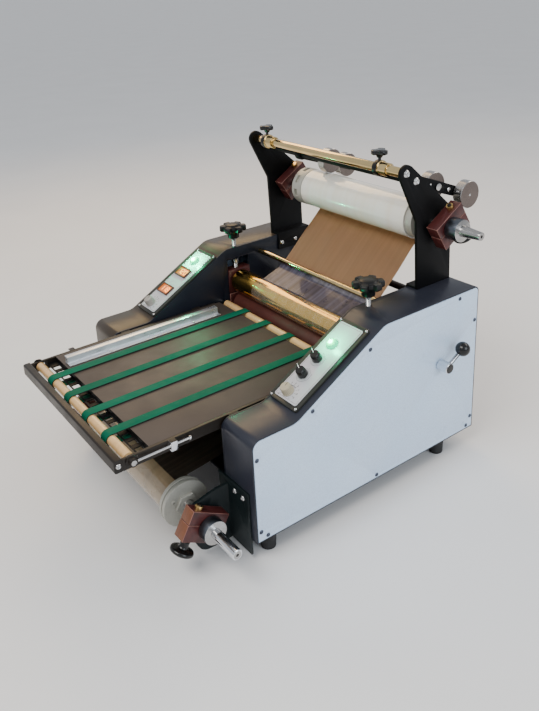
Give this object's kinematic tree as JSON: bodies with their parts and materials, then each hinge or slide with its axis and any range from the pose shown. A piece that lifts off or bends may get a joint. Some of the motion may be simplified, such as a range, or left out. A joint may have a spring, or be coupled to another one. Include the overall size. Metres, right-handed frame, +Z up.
{
  "type": "cold roll laminator",
  "caption": "Benchtop roll laminator with belt feed table, pressed roller pair, upper and lower film rolls, uprights with film rods and side control panels.",
  "frame": {"origin": "bottom centre of the whole machine's bounding box, on the surface the feet stand on", "axes": "+X to the operator's right along the rollers, +Y the way the work travels, from the feed table to the delivery side, +Z up"},
  "size_m": [0.656, 0.8139, 0.6415],
  "materials": {
    "frame_plate": "satin",
    "cover_coat": "fine texture",
    "white_panel": "satin",
    "bright_screw": "bright",
    "black_rubber": "matte",
    "black_plate": "satin",
    "plated_rod": "polished",
    "turned_steel": "turned",
    "black_plastic": "gloss",
    "overlay": "satin",
    "lamp": "clear",
    "display": "gloss",
    "clear_plastic": "gloss",
    "cream_plastic": "satin",
    "spring_steel": "bright",
    "phenolic": "machined",
    "chrome_roller": "polished",
    "roller_rubber": "ground",
    "gear_plastic": "moulded",
    "motor_paint": "cast",
    "steel_gear": "cut",
    "table_coat": "satin",
    "table_sheet": "satin",
    "cream_roller": "satin",
    "green_belt": "smooth",
    "alloy": "brushed",
    "film": "glossy",
    "film_tan": "satin",
    "bracket_coat": "satin",
    "inlet": "moulded"
  },
  "bodies": {
    "machine": {"chassis": "frame_plate", "housing_covers": "cover_coat", "side_panels": "white_panel", "screws": "bright_screw", "rubber_feet": "black_rubber", "uprights": "black_plate", "top_rods": "plated_rod", "control_plates": "table_coat", "control_overlays": "overlay", "indicator_lamps": "lamp", "temperature_displays": "display", "lower_bearing_blocks": "phenolic", "gear_motor": "motor_paint", "table_frame": "table_coat", "table_plate": "table_sheet", "feed_belts": "green_belt", "brake_blocks": "phenolic", "lower_brackets": "bracket_coat", "upper_film_web": "film_tan", "lower_film_web": "film_tan", "power_inlet": "inlet"},
    "rod_collar_left": {"rod_collar_left": "turned_steel"},
    "rod_collar_right": {"rod_collar_right": "turned_steel"},
    "collar_knob_left": {"collar_knob_left": "black_plastic"},
    "collar_knob_right": {"collar_knob_right": "black_plastic"},
    "cradle_arm_left": {"cradle_arm_left": "black_plate"},
    "cradle_arm_right": {"cradle_arm_right": "black_plate"},
    "cradle_wheel_1": {"cradle_wheel_1": "turned_steel"},
    "cradle_wheel_2": {"cradle_wheel_2": "turned_steel"},
    "cradle_wheel_3": {"cradle_wheel_3": "turned_steel"},
    "cradle_wheel_4": {"cradle_wheel_4": "turned_steel"},
    "selector_knob_upper": {"selector_knob_upper": "clear_plastic"},
    "selector_knob_lower": {"selector_knob_lower": "clear_plastic"},
    "speed_knob": {"speed_knob": "cream_plastic"},
    "temperature_knob": {"temperature_knob": "cream_plastic"},
    "spring_right": {"pressure_spring_right": "spring_steel"},
    "spring_left": {"pressure_spring_left": "spring_steel"},
    "pressure_screw_right": {"pressure_screw_right": "black_plastic"},
    "pressure_screw_left": {"pressure_screw_left": "black_plastic"},
    "roller_carriage": {"roller_carriage": "phenolic"},
    "heated_roller": {"heated_roller": "chrome_roller"},
    "rubber_roller": {"rubber_roller": "roller_rubber"},
    "pull_roller_upper": {"pull_roller_upper": "roller_rubber"},
    "pull_roller_lower": {"pull_roller_lower": "roller_rubber"},
    "train_idler_gear": {"train_idler_gear": "gear_plastic"},
    "motor_pinion": {"motor_pinion": "steel_gear"},
    "lift_lever": {"lift_lever": "plated_rod"},
    "front_belt_roller": {"front_belt_roller": "cream_roller"},
    "rear_belt_roller": {"rear_belt_roller": "cream_roller"},
    "tensioner_rod_right": {"tensioner_rod_right": "turned_steel"},
    "tensioner_rod_left": {"tensioner_rod_left": "turned_steel"},
    "side_guide": {"side_guide": "alloy"},
    "upper_mandrel": {"upper_mandrel": "turned_steel", "upper_film_roll": "film"},
    "lower_mandrel": {"lower_mandrel": "turned_steel", "lower_film_roll": "film"},
    "upper_brake_knob": {"upper_brake_knob": "black_plastic"},
    "lower_brake_knob": {"lower_brake_knob": "black_plastic"},
    "upper_idler_rod": {"upper_idler_rod": "chrome_roller"},
    "lower_idler_rod": {"lower_idler_rod": "chrome_roller"}
  },
  "joints": [
    {"name": "rubber_roller_spin", "type": "hinge", "parent": "machine", "child": "rubber_roller", "pos_m": [-0.01896, 0.12805, 0.22585], "axis": [1, 0, 0], "continuous": true},
    {"name": "carriage_lift", "type": "slide", "parent": "machine", "child": "roller_carriage", "axis": [0, 0, 1], "range_m": [0, 0.003]},
    {"name": "heated_roller_spin", "type": "hinge", "parent": "roller_carriage", "child": "heated_roller", "pos_m": [-0.01896, 0.12805, 0.28215], "axis": [1, 0, 0], "continuous": true},
    {"name": "pull_roller_lower_spin", "type": "hinge", "parent": "machine", "child": "pull_roller_lower", "pos_m": [-0.01896, 0.24405, 0.2389], "axis": [1, 0, 0], "continuous": true},
    {"name": "pull_roller_upper_spin", "type": "hinge", "parent": "machine", "child": "pull_roller_upper", "pos_m": [-0.01896, 0.24405, 0.2691], "axis": [1, 0, 0], "continuous": true},
    {"name": "train_idler_gear_spin", "type": "hinge", "parent": "machine", "child": "train_idler_gear", "pos_m": [0.22504, 0.19501, 0.214], "axis": [1, 0, 0], "continuous": true},
    {"name": "motor_pinion_spin", "type": "hinge", "parent": "machine", "child": "motor_pinion", "pos_m": [0.22504, 0.08704, 0.21675], "axis": [1, 0, 0], "continuous": true},
    {"name": "rear_belt_roller_spin", "type": "hinge", "parent": "machine", "child": "rear_belt_roller", "pos_m": [-0.01896, 0.07805, 0.239], "axis": [1, 0, 0], "continuous": true},
    {"name": "front_belt_roller_spin", "type": "hinge", "parent": "machine", "child": "front_belt_roller", "pos_m": [-0.01896, -0.37595, 0.239], "axis": [1, 0, 0], "continuous": true},
    {"name": "upper_idler_spin", "type": "hinge", "parent": "machine", "child": "upper_idler_rod", "pos_m": [-0.01896, 0.19205, 0.339], "axis": [1, 0, 0], "continuous": true},
    {"name": "lower_idler_spin", "type": "hinge", "parent": "machine", "child": "lower_idler_rod", "pos_m": [-0.01896, 0.08605, 0.176], "axis": [1, 0, 0], "continuous": true},
    {"name": "upper_mandrel_spin", "type": "hinge", "parent": "machine", "child": "upper_mandrel", "pos_m": [-0.01896, 0.30005, 0.49], "axis": [1, 0, 0], "continuous": true},
    {"name": "lower_mandrel_spin", "type": "hinge", "parent": "machine", "child": "lower_mandrel", "pos_m": [-0.01896, -0.27395, 0.086], "axis": [1, 0, 0], "continuous": true},
    {"name": "lift_lever_turn", "type": "hinge", "parent": "machine", "child": "lift_lever", "pos_m": [0.28104, 0.24405, 0.229], "axis": [1, 0, 0], "range_deg": [0, 80]},
    {"name": "spring_right_travel", "type": "slide", "parent": "machine", "child": "spring_right", "axis": [0, 0, 1], "range_m": [0, 0.003]},
    {"name": "pressure_screw_right_turn", "type": "hinge", "parent": "spring_right", "child": "pressure_screw_right", "pos_m": [0.20904, 0.12805, 0.4], "axis": [0, 0, 1], "range_deg": [0, 720]},
    {"name": "collar_right_slide", "type": "slide", "parent": "machine", "child": "rod_collar_right", "axis": [1, 0, 0], "range_m": [-0.15, 0.03]},
    {"name": "collar_knob_right_turn", "type": "hinge", "parent": "rod_collar_right", "child": "collar_knob_right", "pos_m": [0.15104, 0.21305, 0.606], "axis": [0, 0, 1], "range_deg": [0, 360]},
    {"name": "tensioner_right_turn", "type": "hinge", "parent": "machine", "child": "tensioner_rod_right", "pos_m": [0.19554, -0.32595, 0.2385], "axis": [0, 1, 0], "range_deg": [-180, 180]},
    {"name": "cradle_arm_right_swing", "type": "hinge", "parent": "machine", "child": "cradle_arm_right", "pos_m": [0.20704, 0.23905, 0.587], "axis": [1, 0, 0], "range_deg": [0, 60]},
    {"name": "spring_left_travel", "type": "slide", "parent": "machine", "child": "spring_left", "axis": [0, 0, 1], "range_m": [0, 0.003]},
    {"name": "pressure_screw_left_turn", "type": "hinge", "parent": "spring_left", "child": "pressure_screw_left", "pos_m": [-0.24696, 0.12805, 0.4], "axis": [0, 0, 1], "range_deg": [0, 720]},
    {"name": "collar_left_slide", "type": "slide", "parent": "machine", "child": "rod_collar_left", "axis": [1, 0, 0], "range_m": [-0.03, 0.15]},
    {"name": "collar_knob_left_turn", "type": "hinge", "parent": "rod_collar_left", "child": "collar_knob_left", "pos_m": [-0.20896, 0.21305, 0.606], "axis": [0, 0, 1], "range_deg": [0, 360]},
    {"name": "tensioner_left_turn", "type": "hinge", "parent": "machine", "child": "tensioner_rod_left", "pos_m": [-0.23346, -0.32595, 0.2385], "axis": [0, 1, 0], "range_deg": [-180, 180]},
    {"name": "cradle_arm_left_swing", "type": "hinge", "parent": "machine", "child": "cradle_arm_left", "pos_m": [-0.12196, 0.23905, 0.587], "axis": [1, 0, 0], "range_deg": [0, 60]},
    {"name": "cradle_wheel_1_spin", "type": "hinge", "parent": "cradle_arm_left", "child": "cradle_wheel_1", "pos_m": [-0.10596, 0.30831, 0.56096], "axis": [1, 0, 0], "continuous": true},
    {"name": "cradle_wheel_2_spin", "type": "hinge", "parent": "cradle_arm_left", "child": "cradle_wheel_2", "pos_m": [-0.13296, 0.37945, 0.53422], "axis": [1, 0, 0], "continuous": true},
    {"name": "cradle_wheel_3_spin", "type": "hinge", "parent": "cradle_arm_right", "child": "cradle_wheel_3", "pos_m": [0.19604, 0.30831, 0.56096], "axis": [1, 0, 0], "continuous": true},
    {"name": "cradle_wheel_4_spin", "type": "hinge", "parent": "cradle_arm_right", "child": "cradle_wheel_4", "pos_m": [0.22304, 0.37945, 0.53422], "axis": [1, 0, 0], "continuous": true},
    {"name": "selector_knob_upper_turn", "type": "hinge", "parent": "machine", "child": "selector_knob_upper", "pos_m": [0.23104, -0.01654, 0.3097], "axis": [0, -0.4867, 0.8736], "range_deg": [-130, 0]},
    {"name": "selector_knob_lower_turn", "type": "hinge", "parent": "machine", "child": "selector_knob_lower", "pos_m": [0.23104, -0.05061, 0.29072], "axis": [0, -0.4867, 0.8736], "range_deg": [-130, 0]},
    {"name": "speed_knob_turn", "type": "hinge", "parent": "machine", "child": "speed_knob", "pos_m": [0.23104, -0.08555, 0.27125], "axis": [0, -0.4867, 0.8736], "range_deg": [-135, 135]},
    {"name": "temperature_knob_turn", "type": "hinge", "parent": "machine", "child": "temperature_knob", "pos_m": [-0.27896, -0.08643, 0.27076], "axis": [0, -0.4867, 0.8736], "range_deg": [-135, 135]},
    {"name": "side_guide_slide", "type": "slide", "parent": "machine", "child": "side_guide", "axis": [1, 0, 0], "range_m": [-0.035, 0.008]},
    {"name": "upper_brake_knob_turn", "type": "hinge", "parent": "machine", "child": "upper_brake_knob", "pos_m": [0.24404, 0.32307, 0.50411], "axis": [0, -0.5225, 0.8526], "range_deg": [-180, 180]},
    {"name": "lower_brake_knob_turn", "type": "hinge", "parent": "machine", "child": "lower_brake_knob", "pos_m": [0.22904, -0.29722, 0.0997], "axis": [0, 0.5075, 0.8616], "range_deg": [-180, 180]}
  ],
  "couplings": [
    {"joint": "heated_roller_spin", "follows": "rubber_roller_spin", "ratio": -1},
    {"joint": "pull_roller_lower_spin", "follows": "rubber_roller_spin", "ratio": 1.8667},
    {"joint": "pull_roller_upper_spin", "follows": "rubber_roller_spin", "ratio": -1.8667},
    {"joint": "train_idler_gear_spin", "follows": "rubber_roller_spin", "ratio": -0.7},
    {"joint": "motor_pinion_spin", "follows": "rubber_roller_spin", "ratio": -2},
    {"joint": "rear_belt_roller_spin", "follows": "rubber_roller_spin", "ratio": 2.8},
    {"joint": "front_belt_roller_spin", "follows": "rubber_roller_spin", "ratio": 2.8},
    {"joint": "upper_idler_spin", "follows": "rubber_roller_spin", "ratio": 4.6667},
    {"joint": "lower_idler_spin", "follows": "rubber_roller_spin", "ratio": -3.5},
    {"joint": "upper_mandrel_spin", "follows": "rubber_roller_spin", "ratio": 0.65882},
    {"joint": "lower_mandrel_spin", "follows": "rubber_roller_spin", "ratio": 0.75676},
    {"joint": "lift_lever_turn", "follows": "carriage_lift", "rad_per_m": 465.42},
    {"joint": "pressure_screw_right_turn", "follows": "spring_right_travel", "rad_per_m": 4188.8},
    {"joint": "pressure_screw_left_turn", "follows": "spring_left_travel", "rad_per_m": 4188.8}
  ]
}
